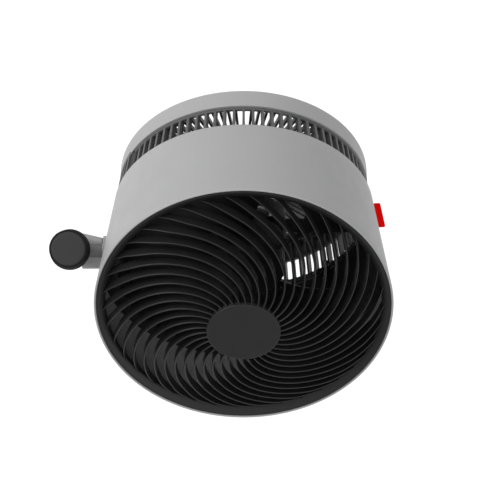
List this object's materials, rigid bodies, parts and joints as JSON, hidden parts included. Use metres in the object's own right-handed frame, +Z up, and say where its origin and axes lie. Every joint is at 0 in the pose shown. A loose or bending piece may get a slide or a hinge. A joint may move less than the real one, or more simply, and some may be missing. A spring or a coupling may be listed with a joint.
{
  "type": "axial air circulator head",
  "caption": "Drum-shaped axial fan head with a slanted swirl grille and a slotted rear intake, tilting on a short side column that has a round control knob and a pole socket.",
  "frame": {"origin": "centre of the pole socket's mouth, at the foot of the column", "axes": "+Z up the pole axis towards the control knob, +X along the tilt axis towards the drum, -Y the side the outlet faces at rest"},
  "size_m": [0.346, 0.3324, 0.3082],
  "materials": {
    "shell_plastic": "satin light grey moulded plastic",
    "grille_plastic": "satin black moulded plastic",
    "guard_plastic": "dark grey moulded plastic",
    "knob_plastic": "dark grey fine-textured plastic",
    "column_plastic": "dark grey moulded plastic",
    "impeller_plastic": "black moulded plastic",
    "tab_red": "flexible red plastic",
    "motor_alloy": "die cast",
    "barrel_alloy": "dark grey coated die casting",
    "core_steel": "laminated electrical steel",
    "steel": "zinc plated",
    "copper_wire": "enamelled copper",
    "magnet": "sintered ferrite",
    "washer_plastic": "low-friction ivory plastic",
    "circuit_board": "solder mask",
    "black_rubber": "matt black"
  },
  "bodies": {
    "pole_mount": {"pole_collar": "column_plastic", "collar_set_screws": "steel", "swivel_washer": "washer_plastic", "swivel_retaining_ring": "steel"},
    "column": {"column_housing": "shell_plastic", "hinge_barrel": "barrel_alloy", "arm_shroud": "shell_plastic", "column_deck": "grille_plastic", "encoder_body": "motor_alloy", "control_board": "circuit_board", "board_screws": "steel", "dc_inlet": "grille_plastic", "tilt_friction_washers": "washer_plastic", "tilt_spring_washer": "steel"},
    "knob": {"knob_dial": "black_rubber", "knob_cap": "knob_plastic", "encoder_shaft": "steel"},
    "drum": {"outer_shell": "shell_plastic", "inner_duct": "grille_plastic", "front_grille": "grille_plastic", "grille_hub_disc": "grille_plastic", "intake_guard": "guard_plastic", "guard_screws": "steel", "rear_cap": "shell_plastic", "cap_screws": "steel", "rear_hub_cap": "shell_plastic", "motor_mount": "grille_plastic", "motor_can": "motor_alloy", "motor_end_plate": "motor_alloy", "motor_screws": "steel", "stator_core": "core_steel", "stator_windings": "copper_wire", "front_bearing": "steel", "rear_bearing": "steel", "motor_cable": "black_rubber", "cable_grommet": "black_rubber", "terminal_block": "washer_plastic", "side_tab": "tab_red", "hinge_plate": "shell_plastic", "hinge_screws": "steel", "tilt_axle": "steel", "tilt_lock_nut": "steel"},
    "impeller_rotor": {"impeller": "impeller_plastic", "motor_shaft": "steel", "rotor_magnets": "magnet", "impeller_nut": "steel", "spinner_cap": "impeller_plastic"}
  },
  "joints": [
    {"name": "column_swivel", "type": "hinge", "parent": "pole_mount", "child": "column", "pos_m": [0, 0, 0.03], "axis": [0, 0, 1], "range_deg": [-90, 90]},
    {"name": "drum_tilt", "type": "hinge", "parent": "column", "child": "drum", "pos_m": [0.175, 0, 0.05], "axis": [1, 0, 0], "range_deg": [-54, 56]},
    {"name": "knob_turn", "type": "hinge", "parent": "column", "child": "knob", "pos_m": [0, 0, 0.09], "axis": [0, 0, 1], "continuous": true},
    {"name": "impeller_spin", "type": "hinge", "parent": "drum", "child": "impeller_rotor", "pos_m": [0.175, 0, 0.05], "axis": [0, -0.809, 0.5878], "continuous": true}
  ]
}
